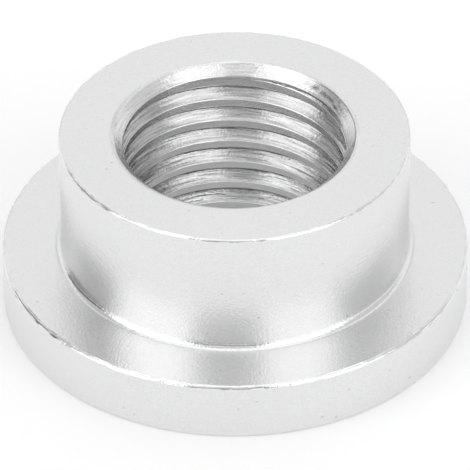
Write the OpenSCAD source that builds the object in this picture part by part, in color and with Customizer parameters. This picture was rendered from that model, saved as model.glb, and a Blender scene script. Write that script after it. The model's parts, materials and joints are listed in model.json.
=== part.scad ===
// Weld bung: one turned aluminium piece with a wide flange and a narrower boss.
// The boss drops into a hole cut in sheet metal, the flange stops it there, and a
// weld bead round the flange's rim fixes it. A plug or a sensor screws into the bore.
// It stands on the flange's underside, with the origin there on the bore's axis.

/* [Flange] */
// Outside diameter of the flange
flange_d = 25.4; // [24:0.1:32]
// Thickness of the flange
flange_h = 3.4; // [2:0.1:6]
// Chamfer round the flange's upper rim, where the weld bead lies
rim_break = 0.15; // [0.05:0.05:0.4]
// Chamfer round the flange's lower rim
foot_break = 0.2; // [0.05:0.05:0.4]

/* [Boss] */
// Diameter of the hole in the sheet that the boss drops into
sheet_hole_d = 19.05; // [16.2:0.05:20.6]
// Gap left all round between the boss and that hole
fit_gap = 0.075; // [0.025:0.005:0.2]
// Height of the boss above the flange
boss_h = 7.2; // [3:0.1:15]
// Chamfer round the boss's upper rim
nose_break = 0.1; // [0.05:0.05:0.4]
// Radius of the hollow that the tool's rounded tip leaves where boss meets flange
root_r = 0.4; // [0.1:0.05:1]

/* [Bore] */
// Diameter that the bore is drilled to, which is the inside of the thread's crests
bore_d = 12; // [8:0.1:12.8]
// Depth of the 45 degree countersink in the boss's mouth of the bore
nose_sink = 0.5; // [0.1:0.05:1]
// Depth of the 45 degree countersink in the flange's mouth of the bore
foot_sink = 0.5; // [0.1:0.05:1]

/* [Hidden] */
$fn = 180;
aluminium = [0.87, 0.87, 0.88];
// How far a cutting shape runs past the face that it cuts
overrun = 1;
flange_r = flange_d / 2;
boss_r = sheet_hole_d / 2 - fit_gap;
bore_r = bore_d / 2;
nose_z = flange_h + boss_h;

// A corner turned off at 45 degrees: the triangle cut away from a corner at the
// origin, for metal that lies to its lower left.
module corner_cut(size) {
    reach = size + overrun;
    polygon([[-size, 0], [-size, overrun], [reach, overrun], [reach, -size], [0, -size]]);
}

// The hollow blend that fills the inside corner at the origin, for metal that lies
// to its left and below.
module corner_fill(radius) {
    difference() {
        translate([-overrun, -overrun]) square(radius + overrun);
        translate([radius, radius]) circle(r = radius);
    }
}

// Half of the section before the bore is cut: flange, boss, hollow root and chamfers
module outside_profile() {
    difference() {
        union() {
            square([flange_r, flange_h]);
            square([boss_r, nose_z]);
            translate([boss_r, flange_h]) corner_fill(root_r);
        }
        translate([boss_r, nose_z]) corner_cut(nose_break);
        translate([flange_r, flange_h]) corner_cut(rim_break);
        translate([flange_r, 0]) mirror([0, 1]) corner_cut(foot_break);
    }
}

// Half of the section of the bore, with the countersink at each mouth
module bore_profile() {
    translate([0, -overrun]) square([bore_r, nose_z + 2 * overrun]);
    translate([bore_r, nose_z]) mirror([1, 0]) sink_profile(nose_sink);
    mirror([0, 1]) translate([bore_r, 0]) mirror([1, 0]) sink_profile(foot_sink);
}

// Half of the section of a countersink, for a mouth that opens upwards at height 0
module sink_profile(depth) {
    polygon([[0, -depth], [-depth, 0], [-depth - overrun, overrun], [overrun, overrun], [overrun, -depth]]);
}

module weld_bung() {
    color(aluminium) rotate_extrude() difference() {
        outside_profile();
        bore_profile();
    }
}

weld_bung();
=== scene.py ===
import json
import math
import random

import bmesh
import bpy
import numpy as np
from mathutils import Matrix, Vector, noise


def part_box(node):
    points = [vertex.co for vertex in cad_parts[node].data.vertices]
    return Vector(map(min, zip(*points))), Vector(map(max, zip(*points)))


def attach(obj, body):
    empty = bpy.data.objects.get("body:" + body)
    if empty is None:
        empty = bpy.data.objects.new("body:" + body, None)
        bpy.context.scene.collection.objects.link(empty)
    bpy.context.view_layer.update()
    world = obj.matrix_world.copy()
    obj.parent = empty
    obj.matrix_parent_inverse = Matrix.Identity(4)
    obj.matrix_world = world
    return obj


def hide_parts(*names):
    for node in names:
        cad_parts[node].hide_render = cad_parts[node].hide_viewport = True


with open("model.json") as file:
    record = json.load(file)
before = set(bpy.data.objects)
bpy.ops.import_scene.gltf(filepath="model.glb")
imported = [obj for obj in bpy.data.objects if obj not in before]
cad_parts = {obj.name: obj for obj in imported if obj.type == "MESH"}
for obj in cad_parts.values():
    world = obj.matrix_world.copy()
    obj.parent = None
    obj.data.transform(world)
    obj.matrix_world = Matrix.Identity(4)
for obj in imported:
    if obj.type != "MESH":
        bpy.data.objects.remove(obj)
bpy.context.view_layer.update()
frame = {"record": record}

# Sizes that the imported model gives, in metres

MM = 0.001
NODE = "weld_bung"
mounts = {mount["name"]: mount for mount in frame["record"]["mounts"]}


def round_wall(name):
    """Radius, lowest and highest point of a round mount's wall."""
    mount = mounts[name]
    half_length = mount["dims"]["length_mm"] * MM / 2
    middle = mount["pos_m"][2]
    return mount["dims"]["r_mm"] * MM, middle - half_length, middle + half_length


box_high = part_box(NODE)[1]
nose_z = box_high.z
flange_r = box_high.x
flange_z = mounts["flange_seat"]["pos_m"][2]
bore_r, bore_low, bore_high = round_wall("thread")
boss_r, boss_low, boss_high = round_wall("boss")
root_r = boss_low - flange_z
nose_sink = nose_z - bore_high
foot_sink = bore_low

# The upper rims are rounded, and the foot has a fine chamfer

nose_break = 1.2 * (nose_z - boss_high)
rim_break = 0.17 * MM
foot_break = 0.12 * MM

# The countersink in the nose has an edge that is rounded over, on one side more than on the other.
# The rounding's lower end lies on the cone, by this share of the rounding's size.

mouth_sink = nose_sink + 0.08 * MM
mouth_round = 0.15 * MM
mouth_lean = 0.20 * MM
mouth_lean_angle = math.radians(200)
cone_share = 0.7
cone_top = nose_z - cone_share * mouth_round

# The thread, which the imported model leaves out. Its section is written as heights above the
# upper edge of a crest and depths into the wall, and rises from one crest to the next.

thread_pitch = 25.4 * MM / 18
crest_z_at_zero = 8.085 * MM
crest_width = 0.40 * MM
lip_rise = 0.110 * MM
lip_facing = math.radians(54)
flank_facing = math.radians(40)
thread_depth = 0.56 * MM
root_width = 0.05 * MM
cover_rows = 3
crest_rows = 3
lip_rows = 2
flank_rows = 12
root_rows = 2
runout_start = 0.62 * MM
runout_end = 0.95 * MM

# Unevenness that the cutting tools leave in the thread

ridge_height = 0.005 * MM
ridge_length = 4.0 * MM
ridge_spacing = 0.17 * MM
ridge_lean = 0.8
steady_height = 0.0015 * MM
steady_spacing = 0.25 * MM
crest_raggedness = 0.015 * MM
crest_tooth = 0.5 * MM
crest_seed = 7.0

# Wear of the rims, tool marks in the hollow root, and the ragged edge of the nose's mouth

rim_raggedness = 0.14
rim_wear_level = 0.6
rim_waves = 60
root_chatter = 0.004 * MM
mouth_raggedness = 0.015 * MM
mouth_waves = 40
change_with_height = 3000
broad_height, finer_height = 1.2, 0.7
finer_waves, finer_seed = 3.1, 5

# Tool marks in the nose's countersink. Reach is the size of the ring that the noise is read on.

mouth_chatter = 0.015 * MM
broad_reach = 5
broad_spacing = 0.09 * MM
fine_reach = 22
fine_spacing = 0.12 * MM
fine_share = 0.7
mark_fade = 0.08 * MM
marks_from_z = nose_z - 1.5 * nose_sink

# Nicks in the countersink, on the line where the thread's crest runs out into it

nick_seed = 4
nick_count = 14
nick_first_angle = math.radians(52)
nick_sweep = math.radians(26)
nick_first_drop = 0.20 * MM
nick_fall = 0.22 * MM
nick_scatter = 0.08 * MM
nick_width = 0.045 * MM
nick_length = 0.16 * MM
nick_depth = 0.03 * MM

# How finely the mesh is divided

columns = 360
angles = np.arange(columns) * 2 * math.pi / columns
foot_steps = 6
wall_steps = 6
flat_steps = 4
corner_steps = 6
fillet_steps = 10
mouth_steps = 8
guard_width = 0.03 * MM
sharp_angle = math.radians(20)

# Lengths in metres that differ by less than this count as equal

hair = 1e-7


def place_nicks():
    """The angle, height and strength of each nick."""
    chance = random.Random(nick_seed)
    places = []
    for step in range(nick_count):
        share = (step + chance.random()) / nick_count
        drop = nick_first_drop + nick_fall * share + nick_scatter * chance.random()
        places.append((nick_first_angle - nick_sweep * share, nose_z - drop, chance.uniform(0.2, 1.0)))
    return places


nicks = place_nicks()


def ring_noise(angle, waves, seed):
    """A smooth number from -1 to 1 that comes back to its start after one turn."""
    reach = waves / math.pi
    return noise.noise(Vector((reach * math.cos(angle), reach * math.sin(angle), seed)))


def rough_noise(angle, waves, seed):
    """Ring noise with finer waves on it, from about -1 to 1."""
    broad = ring_noise(angle, waves, seed)
    fine = ring_noise(angle, finer_waves * waves, seed + finer_seed)
    return broad_height * broad + finer_height * fine


def stretch(start, end, steps):
    """Points from start to end, without the start."""
    return [tuple(s + (e - s) * k / steps for s, e in zip(start, end)) for k in range(1, steps + 1)]


def round_corner(corner_r, corner_z, size):
    """Points over a rounded outer corner, from its side to its top."""
    points = []
    for step in range(1, corner_steps + 1):
        turn = math.pi / 2 * step / corner_steps
        points.append((corner_r - size * (1 - math.cos(turn)), corner_z - size * (1 - math.sin(turn))))
    return points


def worn_rim(points, corner_r, corner_z, size):
    """Adds the wall below a rim, the rim, and a row beside each so that its wear stays on it."""
    points += stretch(points[-1], (corner_r, corner_z - size - guard_width), wall_steps)
    points += stretch(points[-1], (corner_r, corner_z - size), 1)
    points += round_corner(corner_r, corner_z, size)
    points += stretch(points[-1], (corner_r - size - guard_width, corner_z), 1)


def outside_profile():
    """The section from the foot's mouth round the outside to the nose's mouth, as (r, z)."""
    points = [(bore_r + foot_sink, 0.0)]
    points += stretch(points[-1], (flange_r - foot_break, 0.0), foot_steps)
    points += stretch(points[-1], (flange_r, foot_break), 1)
    worn_rim(points, flange_r, flange_z, rim_break)
    points += stretch(points[-1], (boss_r + root_r, flange_z), flat_steps)
    for step in range(1, fillet_steps + 1):
        turn = math.pi / 2 * step / fillet_steps
        points.append((boss_r + root_r * (1 - math.sin(turn)), flange_z + root_r * (1 - math.cos(turn))))
    worn_rim(points, boss_r, nose_z, nose_break)
    corner = (bore_r + mouth_sink, nose_z)
    points += stretch(points[-1], (corner[0] + mouth_round, nose_z), flat_steps)
    start, end = points[-1], (corner[0] - cone_share * mouth_round, cone_top)
    for step in range(1, mouth_steps + 1):
        t = step / mouth_steps
        points.append(tuple((1 - t) ** 2 * a + 2 * t * (1 - t) * c + t * t * b
                            for a, c, b in zip(start, corner, end)))
    return points


def thread_section():
    """The rows across one pitch as (height above the crest's upper edge, depth into the wall)."""
    lip = (lip_rise, lip_rise * math.tan(lip_facing))
    flank = (lip[0] + (thread_depth - lip[1]) / math.tan(flank_facing), thread_depth)
    root = (flank[0] + root_width, thread_depth)
    rows = [(root[0] - thread_pitch, thread_depth)]
    rows += stretch(rows[-1], (-crest_width, 0.0), cover_rows)
    rows += stretch(rows[-1], (0.0, 0.0), crest_rows)
    rows += stretch(rows[-1], lip, lip_rows)
    rows += stretch(rows[-1], flank, flank_rows)
    rows += stretch(rows[-1], root, root_rows)
    return rows[:-1]


def cut_marks(rise, depth, along):
    """How far tool marks move a point of the thread, as (upwards, into the wall)."""
    if depth > 0 and rise > 0:
        across = rise + ridge_lean * depth
        place = Vector((along / ridge_length, across / ridge_spacing, 0.0))
        steady = math.cos(2 * math.pi * across / steady_spacing)
        return 0.0, 2 * ridge_height * noise.noise(place) + steady_height * steady
    if rise == 0:
        return crest_raggedness * noise.noise(Vector((along / crest_tooth, 0.0, crest_seed))), 0.0
    return 0.0, 0.0


def rim_wear(radius, height, angle):
    """How far wear moves a point of the outside's rims, as (inwards, downwards)."""
    row_seed = change_with_height * height
    for rim_r, rim_z, size, seed in ((flange_r, flange_z, rim_break, 1.0), (boss_r, nose_z, nose_break, 2.0)):
        beside_corner = rim_r - size + hair < radius <= rim_r
        if beside_corner and rim_z - size + hair < height <= rim_z:
            worn = rim_wear_level + rough_noise(angle, rim_waves, seed + row_seed)
            wear = max(0.0, rim_raggedness * size * worn)
            return wear, wear
    if boss_r < radius < boss_r + root_r and flange_z < height < flange_z + root_r:
        wear = root_chatter * rough_noise(angle, 2 * rim_waves, 4.0 + row_seed)
        return wear, wear
    if radius <= bore_r + mouth_sink + mouth_round + hair and cone_top <= height:
        outer_share = (radius - bore_r - mouth_sink) / mouth_round + cone_share
        lean = mouth_lean * outer_share / (1 + cone_share) * math.cos(angle - mouth_lean_angle)
        return mouth_raggedness * rough_noise(angle, mouth_waves, 3.0) - lean, 0.0
    return 0.0, 0.0


def nick_share(angle, height):
    """How deep a nick is here, from 0 to about 1."""
    share = 0.0
    for nick_angle, nick_z, strength in nicks:
        across = (angle - nick_angle) * bore_r / nick_length
        upright = (height - nick_z) / nick_width
        share += strength * math.exp(-across * across - upright * upright)
    return share


def mouth_marks(angle, height):
    """How far tool marks and nicks cut the nose's countersink into the wall, from 0 at its rim."""
    broad, fine = (noise.noise(Vector((reach * math.cos(angle), reach * math.sin(angle), height / spacing)))
                   for reach, spacing in ((broad_reach, broad_spacing), (fine_reach, fine_spacing)))
    fade = min(1.0, (cone_top - height) / mark_fade)
    return fade * (mouth_chatter * (broad + fine_share * fine) + nick_depth * nick_share(angle, height))


class Points:
    """Vertices of a mesh, with the numbers that the metal reads from them."""

    def __init__(self):
        self.places = []
        self.numbers = {"along_thread": [], "across_thread": [], "nicked": []}

    def add(self, radius, angle, height, along, across=0.0, nick=0.0):
        self.places.append((radius * math.cos(angle), radius * math.sin(angle), height))
        for values, value in zip(self.numbers.values(), (along, across, nick)):
            values.append(value)
        return len(self.places) - 1


def add_rings(points, profile):
    """A ring of points for each point of the outside's section."""
    for radius, height in profile:
        for angle in angles:
            inward, downward = rim_wear(radius, height, angle)
            worn_r = radius - inward
            points.add(worn_r, angle, height - downward, along=worn_r * angle)


def ring_faces(ring_count):
    """The faces between the outside's rings."""
    faces = []
    for base in range(0, (ring_count - 1) * columns, columns):
        for column in range(columns):
            after = (column + 1) % columns
            faces.append((base + column, base + after, base + columns + after, base + columns + column))
    return faces


def thread_grid():
    """The thread as rows that climb one pitch a turn, longer than the bore at both ends.

    Gives the height, radius and length along the helix of each point, the rise of each row
    above its crest's edge, and how many rows make one turn."""
    section = thread_section()
    per_turn = len(section)
    first_turn = math.floor(-(crest_z_at_zero + 2 * thread_pitch) / thread_pitch)
    last_turn = math.ceil((nose_z - crest_z_at_zero) / thread_pitch)
    rows = np.arange((last_turn - first_turn + 1) * per_turn)
    turn = first_turn + rows // per_turn
    rise, depth = (np.array(values)[rows % per_turn] for values in zip(*section))
    climb = thread_pitch * angles / (2 * math.pi)
    along = bore_r * (2 * math.pi * turn[:, None] + angles)
    marks = np.array([[cut_marks(rise[row], depth[row], place) for place in along[row]] for row in rows])
    z = crest_z_at_zero + thread_pitch * turn[:, None] + rise[:, None] + climb + marks[:, :, 0]
    to_mouth = np.minimum(nose_z - z, z)
    runout = np.clip((to_mouth - runout_start) / (runout_end - runout_start), 0, 1)
    thread_r = bore_r + runout * (depth[:, None] + marks[:, :, 1])
    return z, thread_r, along, rise, per_turn


def sink_radius(height):
    """The radius of the nearer countersink at a height."""
    nose = bore_r + mouth_sink - (nose_z - height)
    foot = bore_r + foot_sink - height
    return np.maximum(nose, foot)


def meet_sinks(z, thread_r):
    """Moves the point nearest to where a countersink cuts the thread onto that line, and marks it."""
    gap = thread_r - sink_radius(z)
    crossed = gap[:-1] * gap[1:] < 0
    share = np.where(crossed, gap[:-1] / np.where(crossed, gap[:-1] - gap[1:], 1), 0)
    crossing_z = z[:-1] + share * (z[1:] - z[:-1])
    crossing_r = thread_r[:-1] + share * (thread_r[1:] - thread_r[:-1])
    on_crease = np.zeros(z.shape, bool)
    for row, column in zip(*np.nonzero(crossed)):
        nearer = row if share[row, column] < 0.5 else row + 1
        z[nearer, column] = crossing_z[row, column]
        thread_r[nearer, column] = crossing_r[row, column]
        on_crease[nearer, column] = True
    return on_crease


def add_thread(points, z, radius, along, rise, nose_ring):
    """Points of the thread's rows, which take the mouth's own points where they run past it."""
    index = np.zeros(z.shape, int)
    for row, column in np.ndindex(z.shape):
        angle, height = angles[column], z[row, column]
        if height <= 0:
            index[row, column] = column
        elif height >= cone_top:
            index[row, column] = nose_ring * columns + column
        else:
            nick = nick_share(angle, height) if height > marks_from_z else 0.0
            index[row, column] = points.add(radius[row, column], angle, height,
                                            along[row, column], rise[row], nick)
    return index


def split_at_crease(corners, on_crease):
    """A quad as it is, or as two triangles where the crease runs from corner to corner."""
    a, b, c, d = corners
    crease = [on_crease[corner] for corner in corners]
    if crease[0] and crease[2] and not (crease[1] or crease[3]):
        return [(a, b, c), (a, c, d)]
    if crease[1] and crease[3] and not (crease[0] or crease[2]):
        return [(a, b, d), (b, c, d)]
    return [corners]


def thread_faces(index, on_crease, per_turn):
    """The faces between the thread's rows. The last column joins the next turn's rows."""
    faces = []
    for row in range(len(index) - 1):
        for column in range(columns):
            after, shift = (column + 1, 0) if column + 1 < columns else (0, per_turn)
            if row + 1 + shift >= len(index):
                continue
            corners = [(row, column), (row + 1, column), (row + 1 + shift, after), (row + shift, after)]
            for part in split_at_crease(corners, on_crease):
                ids = list(dict.fromkeys(int(index[corner]) for corner in part))
                if len(ids) >= 3:
                    faces.append(ids)
    return faces


def shade_smooth(mesh):
    """Smooth shading except at sharp edges, with loose points taken out."""
    edit = bmesh.new()
    edit.from_mesh(mesh)
    for face in edit.faces:
        face.smooth = True
    for edge in edit.edges:
        edge.smooth = len(edge.link_faces) == 2 and edge.calc_face_angle() < sharp_angle
    loose = [point for point in edit.verts if not point.link_faces]
    bmesh.ops.delete(edit, geom=loose, context="VERTS")
    edit.to_mesh(mesh)
    edit.free()


def build_body():
    """One closed mesh: the turned outside, and a bore whose rows follow the thread's helix."""
    points = Points()
    profile = outside_profile()
    add_rings(points, profile)

    z, thread_r, along, rise, per_turn = thread_grid()
    on_crease = meet_sinks(z, thread_r)
    radius = np.maximum(thread_r, sink_radius(z))
    for row, column in zip(*np.nonzero((z > marks_from_z) & (z < cone_top))):
        radius[row, column] += mouth_marks(angles[column], z[row, column])
    index = add_thread(points, z, radius, along, rise, len(profile) - 1)
    faces = ring_faces(len(profile)) + thread_faces(index, on_crease, per_turn)

    mesh = bpy.data.meshes.new("bung")
    mesh.from_pydata(points.places, [], faces)
    for name, values in points.numbers.items():
        mesh.attributes.new(name, "FLOAT", "POINT").data.foreach_set("value", np.array(values, np.float32))
    shade_smooth(mesh)
    body = bpy.data.objects.new("bung", mesh)
    bpy.context.scene.collection.objects.link(body)
    return body


class NodeMaths:
    """Writes sums on numbers as nodes in a node tree. A value is a number or a node's output."""

    def __init__(self, tree):
        self.tree = tree

    def put(self, value, socket):
        """Feeds a value to a socket."""
        if isinstance(value, bpy.types.NodeSocket):
            self.tree.links.new(value, socket)
        else:
            socket.default_value = value

    def calc(self, operation, *values):
        node = self.tree.nodes.new("ShaderNodeMath")
        node.operation = operation
        for socket, value in zip(node.inputs, values):
            self.put(value, socket)
        return node.outputs[0]

    def plus(self, total, *values):
        for value in values:
            total = self.calc("ADD", total, value)
        return total

    def minus(self, value, taken):
        return self.calc("SUBTRACT", value, taken)

    def times(self, product, *values):
        for value in values:
            product = self.calc("MULTIPLY", product, value)
        return product

    def ramp(self, value, start, end, at_start, at_end):
        """Runs smoothly from at_start to at_end while value goes from start to end."""
        node = self.tree.nodes.new("ShaderNodeMapRange")
        node.interpolation_type = "SMOOTHSTEP"
        self.tree.links.new(value, node.inputs["Value"])
        limits = {"From Min": start, "From Max": end, "To Min": at_start, "To Max": at_end}
        for name, number in limits.items():
            node.inputs[name].default_value = number
        return node.outputs["Result"]

    def window(self, value, middle, half, soft):
        """1 where value is within half of middle, falling to 0 over the width soft."""
        distance = self.calc("ABSOLUTE", self.minus(value, middle))
        return self.ramp(distance, half - soft / 2, half + soft / 2, 1.0, 0.0)

    def split(self, vector):
        """The three numbers of a vector."""
        node = self.tree.nodes.new("ShaderNodeSeparateXYZ")
        self.tree.links.new(vector, node.inputs[0])
        return node.outputs

    def vector(self, *values):
        node = self.tree.nodes.new("ShaderNodeCombineXYZ")
        for socket, value in zip(node.inputs, values):
            self.put(value, socket)
        return node.outputs[0]

    def noise(self, place, scale, detail):
        node = self.tree.nodes.new("ShaderNodeTexNoise")
        node.inputs["Scale"].default_value = scale
        node.inputs["Detail"].default_value = detail
        self.tree.links.new(place, node.inputs["Vector"])
        return node.outputs["Fac"]

    def attribute(self, name):
        node = self.tree.nodes.new("ShaderNodeAttribute")
        node.attribute_name = name
        return node.outputs["Fac"]

    def output(self, kind, name):
        """One output of a new node of this kind."""
        return self.tree.nodes.new(kind).outputs[name]


# The metal: bright where it was turned, darker in the thread's grooves, where part is the duller torn
# metal and part is painted shade. Painted shade also darkens the upright walls, the countersink and
# the nicks. A shade is a share of the metal's colour, and the other shades here are taken from it or spread
# it.

metal_colour = (0.87, 0.87, 0.873)
turned_shade = 1.0
# Painted shade: the upright walls are darkened so that their reflections of the floor come out dimmer
painted_wall_shade = 0.92
# Darker in the grooves: partly the duller torn metal of the tapped thread, partly painted shade in the recess
groove_dullness_and_shade = 0.64
# Painted shade: the countersink is darkened so that its highlights stay short of white
painted_mouth_shade = 0.94
speck_shade = 0.26
pit_shade = 0.25
# Painted shade in the nicks, whose dents are too fine for the mesh to shade
painted_nick_shade = 0.6
groove_streaks = 0.9
mouth_streaks = 0.5
crest_streaks = 0.5
turned_roughness = 0.26
rim_roughness = 0.14
groove_roughness = 0.12
roughness_spread = 0.06
bump_depth = 0.015 * MM
fleck_height = 0.85
streak_height = 2.0
turned_anisotropy = 0.6
quarter_turn = 0.25

# The patterns in it: how fine they are, per metre, and how many finer layers they have

streak_scale, streak_detail = 9000.0, 4.0
streak_squeeze = 0.06
grain_scale, grain_detail = 2500.0, 3.0
speck_scale, speck_detail = 14000.0, 1.0
fleck_scale, fleck_detail = 7000.0, 2.0
pit_scale, pit_detail = 3600.0, 0.0
pit_full, pit_edge = 0.135, 0.17

# Where its zones begin and end: radii past the bore's wall, and how upright a wall is

groove_from, groove_full = 0.01 * MM, 0.06 * MM
bore_inside, bore_outside = 0.50 * MM, 0.55 * MM
outside_blend = 0.2 * MM
upright_full, upright_edge = 0.05, 0.2


class Zones:
    """Masks on the bung's surface, from 0 to 1."""

    def __init__(self, maths, place):
        self.maths = maths
        x, y, self.z = maths.split(place)
        self.radius = maths.calc("SQRT", maths.plus(maths.times(x, x), maths.times(y, y)))

    def grooves_and_crests(self):
        """The thread's grooves, and its crests."""
        maths = self.maths
        into_wall = maths.ramp(self.radius, bore_r + groove_from, bore_r + groove_full, 0.0, 1.0)
        inside = maths.ramp(self.radius, bore_r + bore_inside, bore_r + bore_outside, 1.0, 0.0)
        below_mouth = maths.ramp(self.z, nose_z - 1.05 * mouth_sink, nose_z - 0.85 * mouth_sink, 1.0, 0.0)
        groove = maths.times(into_wall, inside, below_mouth)
        crest = maths.times(maths.minus(1.0, into_wall), below_mouth)
        return groove, crest

    def ring(self, middle_r, middle_z, half, soft):
        """A ring of square section round the axis."""
        across = self.maths.window(self.radius, middle_r, half, soft)
        upright = self.maths.window(self.z, middle_z, half, soft)
        return self.maths.times(across, upright)

    def rims_and_root(self):
        """The rounded rims of flange and boss, and the hollow between the two."""
        both = 0.0
        for rim_r, rim_z, size in ((flange_r, flange_z, rim_break), (boss_r, nose_z, nose_break)):
            rim = self.ring(rim_r - size / 2, rim_z - size / 2, 0.55 * size, 0.05 * size)
            both = self.maths.calc("MAXIMUM", both, rim)
        root = self.ring(boss_r + root_r / 2, flange_z + root_r / 2, 0.48 * root_r, 0.04 * root_r)
        return self.maths.calc("MAXIMUM", both, root)

    def mouth(self):
        """The nose's countersink."""
        maths = self.maths
        edge_r = bore_r + mouth_sink + mouth_round
        within = maths.ramp(self.radius, edge_r - mouth_round / 2, edge_r, 1.0, 0.0)
        above = maths.ramp(self.z, nose_z - mouth_sink, nose_z - 0.9 * mouth_sink, 0.0, 1.0)
        return maths.times(within, above)

    def outer_walls(self):
        """The upright walls of flange and boss, which painted shade darkens."""
        maths = self.maths
        facing_up = maths.split(maths.output("ShaderNodeNewGeometry", "True Normal"))["Z"]
        upright = maths.ramp(maths.calc("ABSOLUTE", facing_up), upright_full, upright_edge, 1.0, 0.0)
        edge_r = bore_r + mouth_sink + mouth_round
        outer = maths.ramp(self.radius, edge_r, edge_r + outside_blend, 0.0, 1.0)
        return maths.times(upright, outer)


def turned_aluminium():
    material = bpy.data.materials.new("fine_turned_aluminium")
    material.use_nodes = True
    tree = material.node_tree
    shader = tree.nodes["Principled BSDF"]
    maths = NodeMaths(tree)
    place = maths.output("ShaderNodeTexCoord", "Object")
    zones = Zones(maths, place)
    groove, crest = zones.grooves_and_crests()
    mouth = zones.mouth()

    streak_place = maths.vector(maths.times(maths.attribute("along_thread"), streak_squeeze),
                                maths.attribute("across_thread"), 0.0)
    streaks = maths.noise(streak_place, streak_scale, streak_detail)
    grain = maths.noise(place, grain_scale, grain_detail)
    specks = maths.noise(place, speck_scale, speck_detail)
    flecks = maths.noise(place, fleck_scale, fleck_detail)
    pits = maths.ramp(maths.noise(place, pit_scale, pit_detail), pit_full, pit_edge, 1.0, 0.0)

    streaked = maths.plus(maths.times(groove, groove_streaks), maths.times(mouth, mouth_streaks),
                          maths.times(crest, crest_streaks))
    shade = maths.plus(turned_shade,
                       # darker in the grooves: duller torn metal and painted shade
                       maths.times(groove, groove_dullness_and_shade - turned_shade),
                       # painted shade on the upright walls
                       maths.times(zones.outer_walls(), painted_wall_shade - turned_shade),
                       # painted shade in the countersink
                       maths.times(mouth, painted_mouth_shade - turned_shade),
                       maths.times(maths.minus(streaks, 0.5), streaked),
                       maths.times(maths.minus(specks, 0.5), speck_shade),
                       maths.times(pits, -pit_shade),
                       # painted shade in the nicks
                       maths.times(maths.attribute("nicked"), -painted_nick_shade))
    colour = tree.nodes.new("ShaderNodeMix")
    colour.data_type = "RGBA"
    tree.links.new(shade, colour.inputs["Factor"])
    colour.inputs["A"].default_value = (0, 0, 0, 1)
    colour.inputs["B"].default_value = metal_colour + (1,)
    tree.links.new(colour.outputs["Result"], shader.inputs["Base Color"])
    shader.inputs["Metallic"].default_value = 1.0

    roughness = maths.plus(turned_roughness,
                           maths.times(groove, groove_roughness - turned_roughness),
                           maths.times(zones.rims_and_root(), rim_roughness - turned_roughness),
                           maths.times(maths.minus(grain, 0.5), roughness_spread))
    tree.links.new(roughness, shader.inputs["Roughness"])

    bump = tree.nodes.new("ShaderNodeBump")
    bump.inputs["Distance"].default_value = bump_depth
    height = maths.plus(maths.times(flecks, fleck_height), maths.times(groove, streaks, streak_height))
    tree.links.new(height, bump.inputs["Height"])
    tree.links.new(bump.outputs["Normal"], shader.inputs["Normal"])

    # Turning leaves its fine lines round the axis, so highlights spread across them
    shader.inputs["Anisotropic"].default_value = turned_anisotropy
    shader.inputs["Anisotropic Rotation"].default_value = quarter_turn
    round_axis = tree.nodes.new("ShaderNodeTangent")
    round_axis.direction_type = "RADIAL"
    round_axis.axis = "Z"
    tree.links.new(round_axis.outputs[0], shader.inputs["Tangent"])
    return material


# The camera, as fitted to the rims in the photograph

camera_elevation = math.radians(37.72)
camera_distance = 257.77 * MM
camera_roll = -0.0043
target_height = 3.655 * MM
aim_above_target = 0.027 * MM
sensor_width = 36.0
lens = 362.5
nearest_seen = 10 * MM


def add_camera():
    """Looks along +Y and down, with a long lens."""
    back = Vector((0, -math.cos(camera_elevation), math.sin(camera_elevation)))
    up = Vector((0, math.sin(camera_elevation), math.cos(camera_elevation)))
    target = Vector((0, 0, target_height))
    place = target + camera_distance * back
    aim = target + aim_above_target * up
    turn = (aim - place).to_track_quat("-Z", "Y").to_matrix() @ Matrix.Rotation(camera_roll, 3, "Z")
    data = bpy.data.cameras.new("camera")
    data.sensor_width = sensor_width
    data.lens = lens
    data.clip_start = nearest_seen
    camera = bpy.data.objects.new("camera", data)
    camera.matrix_world = Matrix.Translation(place) @ turn.to_4x4()
    bpy.context.scene.collection.objects.link(camera)
    bpy.context.scene.camera = camera


# The light round the object. A patch is its azimuth and half width, its elevation and half
# height, all in degrees, and its change of brightness. Azimuth 0 is where the camera stands in
# the main picture, and 90 is to its right.

sky_level = 0.92
side_softness = 5
end_softness = 10
sky_patches = (
    # Two bright windows in front
    (-55, 28, 30, 25, 0.60),
    (43, 26, 30, 25, 0.54),
    # The dim gap between them
    (-5, 20, 22, 31, -0.05),
    (-5, 19, 47, 9, -0.26),
    (-5, 25, 6, 20, -0.46),
    # The dim gaps at their outer sides
    (-115, 20, 52, 9, -0.30),
    (-103, 19, 20, 27, -0.33),
    (-99, 22, 5, 18, -0.41),
    (97, 26, 54, 12, -0.15),
    (97, 22, 26, 20, -0.25),
    # Dim corners behind, which the boss mirrors near its outline
    (-152, 11, 40, 14, -0.22),
    (152, 11, 40, 14, -0.18),
)

# Each of these is the middle, half width and softness of a window in degrees. The sky low down
# behind the object is dimmer, and the sky overhead is brighter.

behind_window = (180, 32, 20)
low_window = (2, 17, end_softness)
low_behind_change = -0.22
overhead_window = (90, 26, 14)
overhead_change = 0.22


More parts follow.
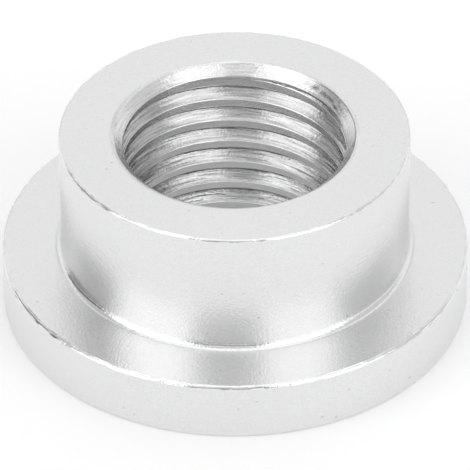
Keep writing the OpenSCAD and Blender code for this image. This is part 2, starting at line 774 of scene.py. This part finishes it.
def studio():
    world = bpy.data.worlds.new("studio")
    bpy.context.scene.world = world
    world.use_nodes = True
    tree = world.node_tree
    maths = NodeMaths(tree)
    x, y, z = maths.split(maths.output("ShaderNodeTexCoord", "Generated"))
    azimuth = maths.calc("DEGREES", maths.calc("ARCTAN2", x, maths.times(y, -1.0)))
    elevation = maths.calc("DEGREES", maths.calc("ARCSINE", z))

    level = sky_level
    for azimuth_middle, azimuth_half, elevation_middle, elevation_half, change in sky_patches:
        across = maths.window(azimuth, azimuth_middle, azimuth_half, side_softness)
        upright = maths.window(elevation, elevation_middle, elevation_half, end_softness)
        level = maths.plus(level, maths.times(across, upright, change))
    behind = maths.window(maths.calc("ABSOLUTE", azimuth), *behind_window)
    low = maths.window(elevation, *low_window)
    overhead = maths.window(elevation, *overhead_window)
    level = maths.plus(level,
                       maths.times(behind, low, low_behind_change),
                       maths.times(overhead, overhead_change))
    background = tree.nodes["Background"]
    tree.links.new(level, background.inputs["Color"])
    background.inputs["Strength"].default_value = 1.0


# White paper that the object stands on

floor_half = 1500 * MM
floor_drop = 0.01 * MM
floor_looks = {
    "Base Color": (0.97, 0.97, 0.97, 1),
    "Emission Color": (1, 1, 1, 1),
    "Emission Strength": 0.08,
    "Roughness": 0.9,
    "Specular IOR Level": 0.2,
}


def add_floor():
    corners = [(x * floor_half, y * floor_half, -floor_drop) for x, y in ((-1, -1), (1, -1), (1, 1), (-1, 1))]
    mesh = bpy.data.meshes.new("floor")
    mesh.from_pydata(corners, [], [(0, 1, 2, 3)])
    floor = bpy.data.objects.new("floor", mesh)
    bpy.context.scene.collection.objects.link(floor)
    material = bpy.data.materials.new("white_paper")
    material.use_nodes = True
    shader = material.node_tree.nodes["Principled BSDF"]
    for name, value in floor_looks.items():
        shader.inputs[name].default_value = value
    mesh.materials.append(material)


bung = build_body()
bung.data.materials.append(turned_aluminium())
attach(bung, "root")
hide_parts(NODE)
studio()
add_floor()
add_camera()
bpy.context.scene.view_settings.view_transform = "Standard"
